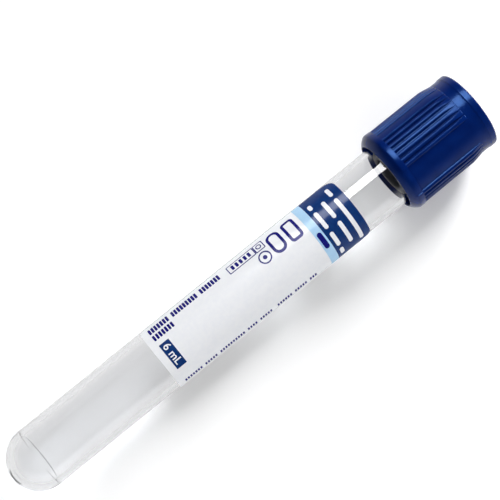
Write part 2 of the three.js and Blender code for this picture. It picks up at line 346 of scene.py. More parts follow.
# %% Tube outline and piece
def tube_outline():
    gate_angle = math.degrees(math.acos(GATE_RADIUS / FOOT_RADIUS))
    wall_top = TUBE_LENGTH - RIM_ROUNDING
    step = WITNESS_WIDTH / 3
    return [
        (0, gate_z),
        *arc(GATE_RADIUS - GATE_ROUNDING, gate_z + GATE_ROUNDING, GATE_ROUNDING, -90, 0, 4),
        *arc(0, FOOT_RADIUS, FOOT_RADIUS, -gate_angle, 0, DOME_ROWS),
        (FOOT_RADIUS + WITNESS_HEIGHT, FOOT_RADIUS + step),
        (FOOT_RADIUS + WITNESS_HEIGHT, FOOT_RADIUS + 2 * step),
        (outer_radius(FOOT_RADIUS + 3 * step), FOOT_RADIUS + 3 * step),
        *straight(FOOT_RADIUS, FOOT_RADIUS, outer_radius(wall_top), wall_top),
        *arc(mouth_radius - RIM_ROUNDING, wall_top, RIM_ROUNDING, 0, 90),
        *arc(bore_mouth_radius + RIM_ROUNDING, wall_top, RIM_ROUNDING, 90, 180),
        *straight(bore_radius(wall_top), wall_top, bore_foot_radius, bore_foot_z),
        *arc(0, bore_foot_z, bore_foot_radius, 0, -90, DOME_ROWS),
    ]


tube_mesh = turned("tube_wall", tube_outline(), even_angles(2 * COLUMNS))
add_piece("tube_wall", tube_mesh, "tube_body", clear_plastic, ["tube"])

# %% [markdown]
# ## The stopper
# Dark butyl rubber: a plug with a stepped lead-in and a groove between two sealing bands, a
# flange on the tube's mouth, a neck for the cap's web, and a head with the dimple that the
# needle goes in by. Where the bands press on the bore there is no air between rubber and
# plastic, so the bands are drawn a hair wider than the bore, which makes them look wet and
# black through the wall, as they do on the real tube.

# %% Rubber material
def make_stopper_rubber():
    material, tree, shader = new_material("stopper_rubber", Specular_IOR_Level=0.4)
    vary_colour(tree, shader, object_noise(tree, 900, 4), (0.03, 0.032, 0.038),
                (0.042, 0.045, 0.052))
    vary_roughness(tree, shader, object_noise(tree, 1500, 3), 0.42, 0.6)
    add_bump(tree, shader, object_noise(tree, 6000, 3), 0.006 * MM)
    return material


stopper_rubber = make_stopper_rubber()
print("made", stopper_rubber.name)

# %% Stopper sizes
SEAT_GAP = 0.1 * MM
PLUG_SQUEEZE = 0.012 * MM
PLUG_LEAD_LENGTH = 1.2 * MM
PLUG_LEAD_RELIEF = 0.32 * MM
PLUG_GROOVE_WIDTH = 1.0 * MM
PLUG_GROOVE_DEPTH = 0.3 * MM
PLUG_RIM_WALL = 1.6 * MM
PLUG_RECESS_DEPTH = 4.8 * MM
FLANGE_THICKNESS = 2.2 * MM
HEAD_THICKNESS = 3.0 * MM
HEAD_RADIUS = 6.23 * MM
NECK_RADIUS = 5.05 * MM
DIMPLE_RADIUS = 2.6 * MM
DIMPLE_DEPTH = 4.0 * MM
EDGE_ROUNDING = 0.4 * MM


print(f"plug: {(TUBE_LENGTH - plug_end) / MM:.2f} mm deep in the bore")

# %% Stopper outline and piece
def rubber_edge(r, z, start, end):
    return arc(r, z, EDGE_ROUNDING, start, end, 6)


def stopper_outline():
    lead_top = plug_end + PLUG_LEAD_LENGTH
    groove_middle = (lead_top + TUBE_LENGTH) / 2
    groove_low = groove_middle - PLUG_GROOVE_WIDTH / 2
    groove_high = groove_middle + PLUG_GROOVE_WIDTH / 2
    lead_radius = bore_radius(plug_end) - PLUG_LEAD_RELIEF
    recess_radius = lead_radius - PLUG_RIM_WALL
    recess_top = plug_end + PLUG_RECESS_DEPTH
    flange_low = TUBE_LENGTH + SEAT_GAP
    flange_high = flange_low + FLANGE_THICKNESS
    head_low = head_top - HEAD_THICKNESS
    rounding = EDGE_ROUNDING

    def band(z):
        return bore_radius(z) + PLUG_SQUEEZE

    return [
        (0, recess_top),
        *rubber_edge(recess_radius - rounding, recess_top - rounding, 90, 0),
        *rubber_edge(recess_radius + rounding, plug_end + rounding, 180, 270),
        *rubber_edge(lead_radius - rounding, plug_end + rounding, -90, 0),
        (lead_radius, lead_top - PLUG_LEAD_RELIEF),
        (band(lead_top), lead_top),
        (band(groove_low), groove_low),
        (band(groove_low) - PLUG_GROOVE_DEPTH, groove_low + PLUG_GROOVE_DEPTH),
        (band(groove_high) - PLUG_GROOVE_DEPTH, groove_high - PLUG_GROOVE_DEPTH),
        (band(groove_high), groove_high),
        (band(TUBE_LENGTH - RIM_ROUNDING), TUBE_LENGTH - RIM_ROUNDING),
        (bore_mouth_radius - SEAT_GAP / 2, flange_low),
        (flange_radius, flange_low),
        *rubber_edge(flange_radius - rounding, flange_high - rounding, 0, 90),
        (NECK_RADIUS, flange_high),
        (NECK_RADIUS, head_low),
        *rubber_edge(HEAD_RADIUS - rounding, head_low + rounding, -90, 0),
        *rubber_edge(HEAD_RADIUS - rounding, head_top - rounding, 0, 90),
        *rubber_edge(DIMPLE_RADIUS + rounding, head_top - rounding, 90, 180),
        *arc(0, head_top - DIMPLE_DEPTH + DIMPLE_RADIUS, DIMPLE_RADIUS, 0, -90, 16),
    ]


stopper_mesh = turned("stopper_body", stopper_outline())
add_piece("stopper_body", stopper_mesh, "closure", stopper_rubber, ["stopper"])

# %% [markdown]
# ## Cap plastic
# A royal blue polyethylene with the satin skin of a spark-eroded mould. Its highlights are
# soft and a little mottled, so the roughness wanders on a scale of half a millimetre, and a
# very fine grain breaks the edges of the reflections. Some of the light in them has been
# just under the skin, so they are bluish, which a tint on the specular part gives.

# %% Cap material
def make_cap_plastic():
    material, tree, shader = new_material(
        "cap_plastic", Specular_IOR_Level=0.32, IOR=1.5, Specular_Tint=(0.16, 0.37, 0.88, 1))
    vary_colour(tree, shader, object_noise(tree, 300, 3), (0.0003, 0.0095, 0.098),
                (0.0006, 0.0135, 0.122))
    vary_roughness(tree, shader, object_noise(tree, 1800, 4), 0.15, 0.26)
    add_bump(tree, shader, object_noise(tree, 5000, 3), 0.004 * MM)
    return material


cap_plastic = make_cap_plastic()
print("made", cap_plastic.name)

# %% [markdown]
# ## The cap's shell
# The turned part has a bevelled ring at its open edge, a plain barrel that carries the ribs,
# a slightly flared lip, an open well with the web that holds the stopper, and a loose skirt.
# Beside each smooth zone the ring is a little shallower. The radius function makes that
# step, and two close columns at each end of it keep it sharp.

# %% Cap sizes
RING_PROUD = 0.63 * MM
RING_LENGTH = 2.75 * MM
RING_BEVEL_HEIGHT = 1.5 * MM
RING_BEVEL_WIDTH = 1.45 * MM
RING_BEVEL_BULGE = 0.1 * MM
RING_EDGE = 0.12 * MM
RING_FLAT_DEPTH = 0.12 * MM
RING_FLAT_STARTS = 0.8 * RING_BEVEL_HEIGHT
FLAT_END = math.radians(0.15)
SKIRT_WALL = 1.17 * MM
SKIRT_DRAFT = 0.1 * MM
SKIRT_LEAD_IN = 0.1 * MM
LIP_LENGTH = 2.9 * MM
LIP_PROUD = 0.13 * MM
LIP_WALL = 1.6 * MM
LIP_ROUNDING = 0.45 * MM
WELL_DRAFT = 0.5 * MM
WEB_THICKNESS = 1.8 * MM
WEB_DEPTH = 1.2 * MM
RIB_TAPER_LENGTH = 3.4 * MM
RIBS_PER_SIDE = 17
WIDE_RIB = 9
WIDE_RIB_FILLERS = 3
SMOOTH_ZONE = math.radians(49.2)
CAP_TURN = math.radians(40)

barrel_radius = ring_radius - RING_PROUD
lip_radius = barrel_radius + LIP_PROUD
ring_top = cap_edge + RING_LENGTH
taper_end = cap_top - LIP_LENGTH
taper_start = taper_end - RIB_TAPER_LENGTH
rib_pitch = (math.pi - SMOOTH_ZONE) / (RIBS_PER_SIDE - 1)
flat_half = (SMOOTH_ZONE - rib_pitch) / 2


print(f"cap: ring {2 * ring_radius / MM:.2f} mm across, lip {2 * lip_radius / MM:.2f} mm, "
      f"ribs {math.degrees(rib_pitch):.2f} degrees apart")

# %% Cap outline
def ring_bevel(share):
    """A point on the ring's bevel, which bulges a little between its two ends."""
    bulge = 4 * RING_BEVEL_BULGE * share * (1 - share)
    return (ring_radius - RING_BEVEL_WIDTH * (1 - share) + bulge,
            cap_edge + RING_BEVEL_HEIGHT * share - bulge)


def cap_outline():
    """From the open edge up the outside, down the well, through the web and down the skirt."""
    skirt_top_radius = barrel_radius - SKIRT_WALL
    skirt_edge_radius = skirt_top_radius + SKIRT_DRAFT
    well_radius = lip_radius - LIP_WALL
    well_floor_radius = well_radius - WELL_DRAFT
    web_low = TUBE_LENGTH + FLANGE_THICKNESS + 2 * SEAT_GAP
    web_high = web_low + WEB_THICKNESS
    web_radius = well_floor_radius - WEB_DEPTH
    inner_rounding = LIP_ROUNDING / 2
    lip = arc(0, 0, 1, 180, 90, 8)
    return [
        (skirt_edge_radius + SKIRT_LEAD_IN, cap_edge),
        *[ring_bevel(i / 10) for i in range(10)],
        (ring_radius - RING_EDGE / 5, cap_edge + RING_BEVEL_HEIGHT),
        (ring_radius, cap_edge + RING_BEVEL_HEIGHT + RING_EDGE),
        (ring_radius, ring_top - RING_EDGE),
        *arc(ring_radius - RING_EDGE, ring_top - RING_EDGE, RING_EDGE, 0, 90, 3),
        *arc(barrel_radius + RING_EDGE, ring_top + RING_EDGE, RING_EDGE, 270, 180, 3),
        *straight(barrel_radius, ring_top + RING_EDGE, barrel_radius, taper_end),
        *[(barrel_radius + LIP_PROUD * (1 + x), taper_end + LIP_LENGTH / 2 * y) for x, y in lip],
        *arc(lip_radius - LIP_ROUNDING, cap_top - LIP_ROUNDING, LIP_ROUNDING, 0, 90),
        *arc(well_radius + inner_rounding, cap_top - inner_rounding, inner_rounding, 90, 180),
        *straight(well_radius, cap_top - inner_rounding, well_floor_radius, web_high),
        *arc(web_radius + RING_EDGE, web_high - RING_EDGE, RING_EDGE, 90, 180, 4),
        *arc(web_radius + RING_EDGE, web_low + RING_EDGE, RING_EDGE, 180, 270, 4),
        (skirt_top_radius, web_low),
        *straight(skirt_top_radius, web_low, skirt_edge_radius, cap_edge + 2 * SKIRT_LEAD_IN),
    ]


print("cap outline:", len(cap_outline()), "points")

# %% Cap shell mesh
def from_smooth_zone(angle):
    """Angle from the middle of the nearer smooth zone."""
    turn = (angle - CAP_TURN) % math.pi
    return min(turn, math.pi - turn)


def cap_radius(angle, r, z):
    """The outline's radius, a little less on the ring's flats."""
    on_band = r > barrel_radius + RING_EDGE and cap_edge + RING_FLAT_STARTS < z < ring_top
    if on_band and from_smooth_zone(angle) < flat_half:
        return r - RING_FLAT_DEPTH
    return r


def cap_angles():
    """Even columns, with a close pair at each end of the ring's flats."""
    ends = [CAP_TURN + zone + end + tiny for zone in (0, math.pi)
            for end in (-flat_half, flat_half) for tiny in (-FLAT_END, FLAT_END)]
    return sorted(a % (2 * math.pi) for a in even_angles() + ends)


shell_mesh = turned("cap_shell", cap_outline(), cap_angles(), cap_radius)
print("cap shell:", len(shell_mesh.polygons), "faces")

# %% [markdown]
# ## One rib
# A rib is a ridge with a narrow crest, straight flanks and rounded shoulders, which catch
# the light as thin lines. It is wide enough at its root to touch its neighbours, so the
# grooves between ribs are V-shaped. Towards the waist the crest runs down a ramp into the
# barrel. Because the ramp cuts the flanks lower and lower, the crest widens and each groove
# ends in a point. A loft of sections along the rib gives that with no cutting: each section
# is the same ridge, topped at the ramp's height there.

# %% Rib section and ramp
RIB_HEIGHT_AT_RING = 0.52 * MM
RIB_HEIGHT_AT_TAPER = 0.46 * MM
RIB_CREST_WIDTH = 0.62 * MM
RIB_ROOT_FLAT = 0.14 * MM
RIB_SHOULDER_SHARE = 0.4
RIB_SHOULDER = [(0.55, 0.02), (0.22, 0.3), (0.05, 0.7), (0.0, 1.2)]
RIB_BURIED = 0.3 * MM
RAMP_POWER = 1.25
RAMP_ROWS = 16

rib_root_half = barrel_radius * math.tan(rib_pitch / 2) - RIB_ROOT_FLAT / 2


def crest_height(z):
    """Height of the rib's crest over the barrel: a slight fall, then the ramp."""
    if z <= taper_start:
        share = max(z - ring_top, 0) / (taper_start - ring_top)
        return RIB_HEIGHT_AT_RING + (RIB_HEIGHT_AT_TAPER - RIB_HEIGHT_AT_RING) * share
    share = (z - taper_start) / RIB_TAPER_LENGTH
    return RIB_HEIGHT_AT_TAPER * (1 - share ** RAMP_POWER) - RIB_ROOT_FLAT * share


def half_width(height):
    """Half the ridge's width at a height over the barrel."""
    narrowing = (rib_root_half - RIB_CREST_WIDTH / 2) / RIB_HEIGHT_AT_RING
    return rib_root_half - narrowing * height


def rib_section(z):
    """The ridge's outline at one place along the rib, from its left root to its right."""
    height = crest_height(z)
    rounding = RIB_SHOULDER_SHARE * max(height, 0)
    side_points = [
        (-RIB_BURIED, rib_root_half),
        (-RIB_ROOT_FLAT, rib_root_half),
        (min(height, 0), half_width(min(height, 0))),
        (height - rounding, half_width(height - rounding)),
        *[(height - rounding * down, half_width(height) - rounding * inward)
          for down, inward in RIB_SHOULDER],
    ]
    right = [(barrel_radius + h, w) for h, w in side_points]
    left = [(r, -w) for r, w in reversed(right)]
    return [Vector((r, w, z)) for r, w in right + left]


print(f"rib: {2 * rib_root_half / MM:.2f} mm wide at its root")

# %% Rib mesh
def rib_mesh():
    """A closed loft of sections, with its foot sunk in the ring."""
    bm = bmesh.new()
    ramp = [taper_start + RIB_TAPER_LENGTH * i / RAMP_ROWS for i in range(RAMP_ROWS + 1)]
    rows = [ring_top - RING_LENGTH / 4, ring_top, (ring_top + taper_start) / 2, *ramp]
    rings = [[bm.verts.new(point) for point in rib_section(z)] for z in rows]
    for lower, upper in zip(rings, rings[1:]):
        for i in range(len(lower)):
            j = (i + 1) % len(lower)
            bm.faces.new((lower[i], lower[j], upper[j], upper[i]))
    bm.faces.new(rings[0])
    bm.faces.new(list(reversed(rings[-1])))
    return finished_mesh("rib", bm)


rib = new_object("rib", rib_mesh())
rib.hide_render = True
print("one rib:", len(rib.data.polygons), "faces")

# %% [markdown]
# ## Thirty-four ribs with Geometry Nodes
# The ribs stand in two groups, with a smooth zone between them on each side. A node tree
# makes one point for each rib, works out its angle from its index, puts the rib on it, and
# joins all of them to the shell. A few more ribs stand between one pair in each group, which
# runs that pair together into a wide one. The counts and angles are named inputs, so a cap
# with another number of ribs is one changed value. Realize Instances turns the copies into
# real mesh, because the export drops instances.

# %% Helpers for geometry trees
def new_tree(name, **inputs):
    """A geometry tree with inputs listed by kind. Returns it and its inputs' sockets."""
    tree = bpy.data.node_groups.new(name, "GeometryNodeTree")
    for kind, labels in inputs.items():
        for label in labels:
            tree.interface.new_socket(label, in_out="INPUT", socket_type="NodeSocket" + kind)
    tree.interface.new_socket("Geometry", in_out="OUTPUT", socket_type="NodeSocketGeometry")
    return tree, tree.nodes.new("NodeGroupInput").outputs


def end_tree(tree, geometry, material):
    """Gives the geometry its material and makes it what the tree gives back."""
    painted = add_node(tree, "GeometryNodeSetMaterial", Geometry=geometry, Material=material)
    add_node(tree, "NodeGroupOutput", painted.outputs[0])


def run_tree(name, mesh, tree, values):
    """Runs a tree on a mesh and returns the result as a plain mesh."""
    carrier = new_object(name, mesh)
    modifier = carrier.modifiers.new("nodes", "NODES")
    modifier.node_group = tree
    for socket in tree.interface.items_tree:
        if socket.name in values:
            modifier[socket.identifier] = values[socket.name]
    evaluated = carrier.evaluated_get(bpy.context.evaluated_depsgraph_get())
    result = bpy.data.meshes.new_from_object(evaluated)
    carrier.modifiers.clear()
    bpy.data.objects.remove(carrier)
    result.name = name
    return result


# %% The rib tree
def make_rib_tree():
    tree, given = new_tree(
        "ribs_round_a_cap", Geometry=["Shell"], Object=["Rib"],
        Int=["Ribs per side", "Wide rib", "Fillers"], Float=["Smooth zone", "Start"],
        Material=["Material"])
    even = given["Ribs per side"]
    fillers = given["Fillers"]
    zone = given["Smooth zone"]
    per_side = calculate(tree, "ADD", even, fillers)
    index = add_node(tree, "GeometryNodeInputIndex").outputs[0]
    group = calculate(tree, "FLOOR", calculate(tree, "DIVIDE", index, per_side))
    step = calculate(tree, "SUBTRACT", index, calculate(tree, "MULTIPLY", group, per_side))
    filler = calculate(tree, "SUBTRACT", step, calculate(tree, "SUBTRACT", even, 1.0))
    between = calculate(tree, "ADD", given["Wide rib"], calculate(
        tree, "DIVIDE", filler, calculate(tree, "ADD", fillers, 1.0)))
    shift = calculate(tree, "MULTIPLY", calculate(tree, "GREATER_THAN", filler, 0.5),
                      calculate(tree, "SUBTRACT", between, step))
    place = calculate(tree, "ADD", step, shift)
    pitch = calculate(tree, "DIVIDE", calculate(tree, "SUBTRACT", math.pi, zone),
                      calculate(tree, "SUBTRACT", even, 1.0))
    turn = calculate(tree, "ADD", calculate(tree, "MULTIPLY", group, math.pi),
                     calculate(tree, "MULTIPLY", place, pitch))
    turn = calculate(tree, "ADD", turn, calculate(tree, "MULTIPLY", zone, 0.5))
    turn = calculate(tree, "ADD", turn, given["Start"])
    points = add_node(tree, "GeometryNodePoints",
                      Count=calculate(tree, "MULTIPLY", per_side, 2.0))
    one_rib = add_node(tree, "GeometryNodeObjectInfo", Object=given["Rib"])
    euler = add_node(tree, "ShaderNodeCombineXYZ", Z=turn)
    rotation = add_node(tree, "FunctionNodeEulerToRotation", Euler=euler.outputs[0])
    ribs = add_node(tree, "GeometryNodeInstanceOnPoints", Points=points.outputs[0],
                    Instance=one_rib.outputs["Geometry"], Rotation=rotation.outputs[0])
    real = add_node(tree, "GeometryNodeRealizeInstances", Geometry=ribs.outputs[0])
    joined = add_node(tree, "GeometryNodeJoinGeometry", real.outputs[0])
    tree.links.new(given["Shell"], joined.inputs[0])
    end_tree(tree, joined.outputs[0], given["Material"])
    return tree


# %% The ribs on the shell
rib_tree = make_rib_tree()
cap_mesh = run_tree("cap_with_ribs", shell_mesh, rib_tree, {
    "Rib": rib, "Ribs per side": RIBS_PER_SIDE, "Wide rib": WIDE_RIB,
    "Fillers": WIDE_RIB_FILLERS, "Smooth zone": SMOOTH_ZONE,
    "Start": CAP_TURN, "Material": cap_plastic})
bpy.data.objects.remove(rib)
add_piece("cap_with_ribs", cap_mesh, "closure", cap_plastic, ["cap"])

# %% [markdown]
# ## The label, drawn flat
# A label is printed flat and then wrapped, and it is drawn that way here: x is the distance
# round the tube from the label's middle, y the height over the dome's tip, and z the
# thickness. The sheet and each patch of ink are thin closed slabs. They are cut into narrow
# columns first, because a flat face can't bend.

# %% Flat outlines
def corner_arc(x, y, radius, start, steps=8):
    return [(x + radius * math.cos(math.radians(start + 90 * i / steps)),
             y + radius * math.sin(math.radians(start + 90 * i / steps)))
            for i in range(steps + 1)]


def rounded(x0, y0, x1, y1, top_corner, foot_corner=None):
    """A rectangle with round corners, anticlockwise from its lower right corner."""
    foot_corner = top_corner if foot_corner is None else foot_corner
    return [
        *corner_arc(x1 - foot_corner, y0 + foot_corner, foot_corner, -90),
        *corner_arc(x1 - top_corner, y1 - top_corner, top_corner, 0),
        *corner_arc(x0 + top_corner, y1 - top_corner, top_corner, 90),
        *corner_arc(x0 + foot_corner, y0 + foot_corner, foot_corner, 180),
    ]


def circle(x, y, radius, steps=40):
    turns = [2 * math.pi * i / steps for i in range(steps)]
    return [(x + radius * math.cos(t), y + radius * math.sin(t)) for t in turns]


def add_face(bm, outline):
    bm.faces.new([bm.verts.new((x, y, 0)) for x, y in outline])


def add_band(bm, outer, inner):
    """The strip between two outlines with equally many points."""
    outer_verts = [bm.verts.new((x, y, 0)) for x, y in outer]
    inner_verts = [bm.verts.new((x, y, 0)) for x, y in inner]
    for i in range(len(outer)):
        j = (i + 1) % len(outer)
        bm.faces.new((outer_verts[i], outer_verts[j], inner_verts[j], inner_verts[i]))


# %% Flat drawings with a thickness
SLICE = 0.35 * MM


def slab(name, bm, low, high):
    """Cuts flat faces into columns and gives them a thickness from low to high."""
    bmesh.ops.remove_doubles(bm, verts=bm.verts, dist=1e-7)
    left = min(vertex.co.x for vertex in bm.verts)
    right = max(vertex.co.x for vertex in bm.verts)
    for i in range(math.ceil(left / SLICE), math.floor(right / SLICE) + 1):
        everything = bm.verts[:] + bm.edges[:] + bm.faces[:]
        bmesh.ops.bisect_plane(bm, geom=everything, plane_co=(i * SLICE, 0, 0),
                               plane_no=(1, 0, 0), dist=1e-8)
    bmesh.ops.recalc_face_normals(bm, faces=bm.faces)
    if bm.faces[:][0].normal.z < 0:
        bmesh.ops.reverse_faces(bm, faces=bm.faces)
    bottom = bm.faces[:]
    raised = bmesh.ops.extrude_face_region(bm, geom=bottom, use_keep_orig=True)["geom"]
    for vertex in bm.verts:
        vertex.co.z = low
    for vertex in (item for item in raised if isinstance(item, bmesh.types.BMVert)):
        vertex.co.z = high
    return finished_mesh(name, bm)


# %% [markdown]
# ## Wrapping with Geometry Nodes
# A second tree wraps anything drawn flat round the tube. It reads each point's x as a
# distance round the tube and turns it into an angle by dividing by the tube's radius at that
# height, so the slight taper is followed too.

# %% The wrapping tree
def make_wrap_tree():
    tree, given = new_tree(
        "wrap_round_a_tube", Geometry=["Drawing"],
        Float=["Foot radius", "Mouth radius", "Foot height", "Mouth height", "Turn"],
        Material=["Material"])
    position = add_node(tree, "GeometryNodeInputPosition")
    parts = add_node(tree, "ShaderNodeSeparateXYZ", position.outputs[0]).outputs
    radius = add_node(
        tree, "ShaderNodeMapRange", Value=parts["Y"], From_Min=given["Foot height"],
        From_Max=given["Mouth height"], To_Min=given["Foot radius"],
        To_Max=given["Mouth radius"]).outputs["Result"]
    around = calculate(tree, "DIVIDE", parts["X"], radius)
    around = calculate(tree, "ADD", around, given["Turn"])
    out = calculate(tree, "ADD", radius, parts["Z"])
    across = calculate(tree, "MULTIPLY", out, calculate(tree, "COSINE", around))
    along = calculate(tree, "MULTIPLY", out, calculate(tree, "SINE", around))
    wrapped = add_node(tree, "ShaderNodeCombineXYZ", across, along, parts["Y"])
    moved = add_node(tree, "GeometryNodeSetPosition", Geometry=given["Drawing"],
                     Position=wrapped.outputs[0])
    real = add_node(tree, "GeometryNodeRealizeInstances", Geometry=moved.outputs[0])
    end_tree(tree, real.outputs[0], given["Material"])
    return tree


# %% A helper that wraps a piece
wrap_tree = make_wrap_tree()
LABEL_TURN = math.radians(18)


def wrap(name, flat_mesh, material, stands_for=()):
    """Wraps a flat mesh round the tube and makes it a piece of the tube's body."""
    mesh = run_tree(name, flat_mesh, wrap_tree, {
        "Foot radius": FOOT_RADIUS, "Mouth radius": mouth_radius,
        "Foot height": FOOT_RADIUS, "Mouth height": TUBE_LENGTH,
        "Turn": math.pi + LABEL_TURN, "Material": material})
    add_piece(name, mesh, "tube_body", material, stands_for)


print("trees:", rib_tree.name, "and", wrap_tree.name)

# %% [markdown]
# ## Label film and inks
# The label is a white film under a clear varnish, so its gloss sits in a thin coat over a
# duller base. Inks are printed under the same varnish. They only change the colour below it,
# with a trace of unevenness in the solid areas. The fields are navy and pale blue, and the
# small print is a more violet blue.

# %% Label and ink materials
def make_printed(name, dark, light):
    material, tree, shader = new_material(
        name, Roughness=0.6, Specular_IOR_Level=0.05, Coat_Weight=0.36, Coat_Roughness=0.18,
        Coat_IOR=1.5)
    vary_colour(tree, shader, object_noise(tree, 1200, 3), dark, light)
    add_bump(tree, shader, object_noise(tree, 2500, 2), 0.002 * MM)
    return material


label_film = make_printed("label_film", (0.87, 0.885, 0.925), (0.9, 0.912, 0.94))
ink_navy = make_printed("ink_navy", (0.0006, 0.026, 0.145), (0.0012, 0.034, 0.17))
ink_violet = make_printed("ink_violet", (0.003, 0.003, 0.16), (0.005, 0.005, 0.19))
ink_pale_blue = make_printed("ink_pale_blue", (0.42, 0.66, 0.9), (0.46, 0.69, 0.92))
ink_white = make_printed("ink_white", (0.86, 0.88, 0.92), (0.89, 0.9, 0.94))
print("made", label_film.name, ink_navy.name, ink_violet.name, ink_pale_blue.name,
      ink_white.name)

# %% [markdown]
# ## The sheet and its printed fields
# The sheet has large round corners at its top and small ones at its foot. A navy field with
# the same top corners covers its upper end, and a pale blue band lies under it. The glue
# leaves no air under the sheet, so it starts a hair inside the tube's wall.

# %% Label sizes and layers of ink
LABEL_HALF = 9.1 * MM
LABEL_TOP_CORNER = 2.6 * MM
LABEL_FOOT_CORNER = 1.0 * MM
LABEL_SUNK = 0.01 * MM
LABEL_LIFT = 0.13 * MM
INK_SUNK = 0.01 * MM
INK_LIFT = 0.012 * MM
WHITE_INK_LIFT = 2 * INK_LIFT
INK_MARGIN = 0.03 * MM
HEADER_FOOT = 75.7 * MM
BAND_FOOT = 73.86 * MM


def print_drawing(name, bm, material):
    """A flat drawing as a layer of ink on the sheet."""
    wrap(name, slab(name, bm, LABEL_LIFT - INK_SUNK, LABEL_LIFT + INK_LIFT), material)


def print_over(name, bm, material):
    """A flat drawing as a second layer, over a printed field."""
    wrap(name, slab(name, bm, LABEL_LIFT, LABEL_LIFT + WHITE_INK_LIFT), material)


def print_field(name, outline, material):
    """One solid field of ink."""
    bm = bmesh.new()
    add_face(bm, outline)
    print_drawing(name, bm, material)


print(f"label: {2 * LABEL_HALF / MM:.1f} by {(label_top - label_foot) / MM:.2f} mm")

# %% Sheet, header and band
sheet_drawing = bmesh.new()
add_face(sheet_drawing, rounded(-LABEL_HALF, label_foot, LABEL_HALF, label_top,
                                LABEL_TOP_CORNER, LABEL_FOOT_CORNER))
sheet_mesh = slab("label_sheet", sheet_drawing, -LABEL_SUNK, LABEL_LIFT)
wrap("label_sheet", sheet_mesh, label_film, ["label"])

ink_half = LABEL_HALF - INK_MARGIN
header = rounded(-ink_half, HEADER_FOOT, ink_half, label_top - INK_MARGIN,
                 LABEL_TOP_CORNER - INK_MARGIN, INK_MARGIN)
print_field("label_header", header, ink_navy)
band = rounded(-ink_half, BAND_FOOT, ink_half, HEADER_FOOT, INK_MARGIN)
print_field("label_band", band, ink_pale_blue)

# %% [markdown]
# ## Print
# The print is generic. Where words would stand there are plain bars, one for each word. Each
# bar is a rounded rectangle in millimetres, listed by the height of its line and by where
# the word starts and ends across the label.

# %% Bars in the header and on the band
BAR_HEIGHT = 0.88
BAND_BAR_HEIGHT = 1.05
BAR_END_SHARE = 0.48
HEADER_LINES = [
    (81.6, [(-7.0, -4.6), (-3.8, 6.9)]),
    (79.35, [(-5.0, -0.9), (0.0, 5.4)]),
    (76.85, [(-6.4, -5.0), (-4.2, -0.2), (0.7, 4.1), (4.9, 6.9)]),
]
BAND_LINES = [(74.78, [(-0.7, 2.95)])]


def box_in_mm(x0, y0, x1, y1, corner):
    """A rounded rectangle given in millimetres."""
    return rounded(x0 * MM, y0 * MM, x1 * MM, y1 * MM, corner * MM)


def print_bars(name, lines, height, material):
    """One bar for each word of each line."""
    bm = bmesh.new()
    for middle, words in lines:
        for start, end in words:
            add_face(bm, box_in_mm(start, middle - height / 2, end, middle + height / 2,
                                   height * BAR_END_SHARE))
    print_over(name, bm, material)


print_bars("header_bars", HEADER_LINES, BAR_HEIGHT, ink_white)
print_bars("band_bar", BAND_LINES, BAND_BAR_HEIGHT, ink_violet)

# %% [markdown]
# ## Rows of small marks
# Small print is a row of short strokes at an even pitch, with gaps where words end. A third
# node tree sets the strokes in a row and drops some of them by a seeded random value, so the
# row is the same each time the script runs. The marks stay flat: they are added to one
# drawing, which is wrapped as a whole later.

# %% The tree that sets marks in a row
def make_row_tree():
    tree, given = new_tree("marks_in_a_row", Geometry=["Mark"], Int=["Count", "Seed"],
                           Float=["Pitch", "Word gaps"], Material=["Material"])
    index = add_node(tree, "GeometryNodeInputIndex").outputs[0]
    place = add_node(tree, "ShaderNodeCombineXYZ",
                     Y=calculate(tree, "MULTIPLY", index, given["Pitch"]))
    points = add_node(tree, "GeometryNodePoints", Count=given["Count"],
                      Position=place.outputs[0])
    gap = add_node(tree, "FunctionNodeRandomValue", data_type="BOOLEAN",
                   Probability=given["Word gaps"], Seed=given["Seed"])
    chosen = next(socket for socket in gap.outputs if socket.type == "BOOLEAN")
    kept = add_node(tree, "GeometryNodeDeleteGeometry", Geometry=points.outputs[0],
                    Selection=chosen)
    marks = add_node(tree, "GeometryNodeInstanceOnPoints", Points=kept.outputs[0],
                     Instance=given["Mark"])
    real = add_node(tree, "GeometryNodeRealizeInstances", Geometry=marks.outputs[0])
    end_tree(tree, real.outputs[0], given["Material"])
    return tree


# %% A helper that makes a row
row_tree = make_row_tree()
MARK_CORNER_SHARE = 0.3


def mark_row(name, middle, start, end, width, height, pitch, gaps, seed):
    """A row of small marks that runs up the label, given in millimetres."""
    bm = bmesh.new()
    add_face(bm, box_in_mm(middle - width / 2, start, middle + width / 2, start + height,
                           min(width, height) * MARK_CORNER_SHARE))
    mesh = bpy.data.meshes.new(name)
    bm.to_mesh(mesh)
    bm.free()
    return run_tree(name, mesh, row_tree, {
        "Count": int((end - start) / pitch), "Pitch": pitch * MM, "Word gaps": gaps,
        "Seed": seed, "Material": ink_violet})


# %% Small print
ROWS = [
    dict(name="address", middle=-6.95, start=37.6, end=55.2, width=1.7, height=0.52, pitch=0.7,
         gaps=0.16, seed=3),
    dict(name="code", middle=-4.9, start=37.6, end=43.3, width=1.35, height=0.5, pitch=0.72,
         gaps=0.0, seed=1),
    dict(name="date_line", middle=6.9, start=37.5, end=70.7, width=1.15, height=0.42,
         pitch=0.62, gaps=0.14, seed=8),
]

small_print = bmesh.new()
for row in ROWS:
    small_print.from_mesh(mark_row(**row))
print("small print:", len(small_print.faces), "marks in", len(ROWS), "rows")

# %% [markdown]
# ## Symbols
# Real labels carry a few symbols in boxes and circles. Generic ones stand here: a framed row
# of blocks with a ring in a second frame, a ringed dot, and two rounded outlines. They are
# drawn as strips between an outer and an inner outline, in millimetres, and printed in one
# layer with the small print. A ring is listed by its middle and its outer and inner radius,
# and a loop by its foot, its top and the radii of its outer and inner corners.

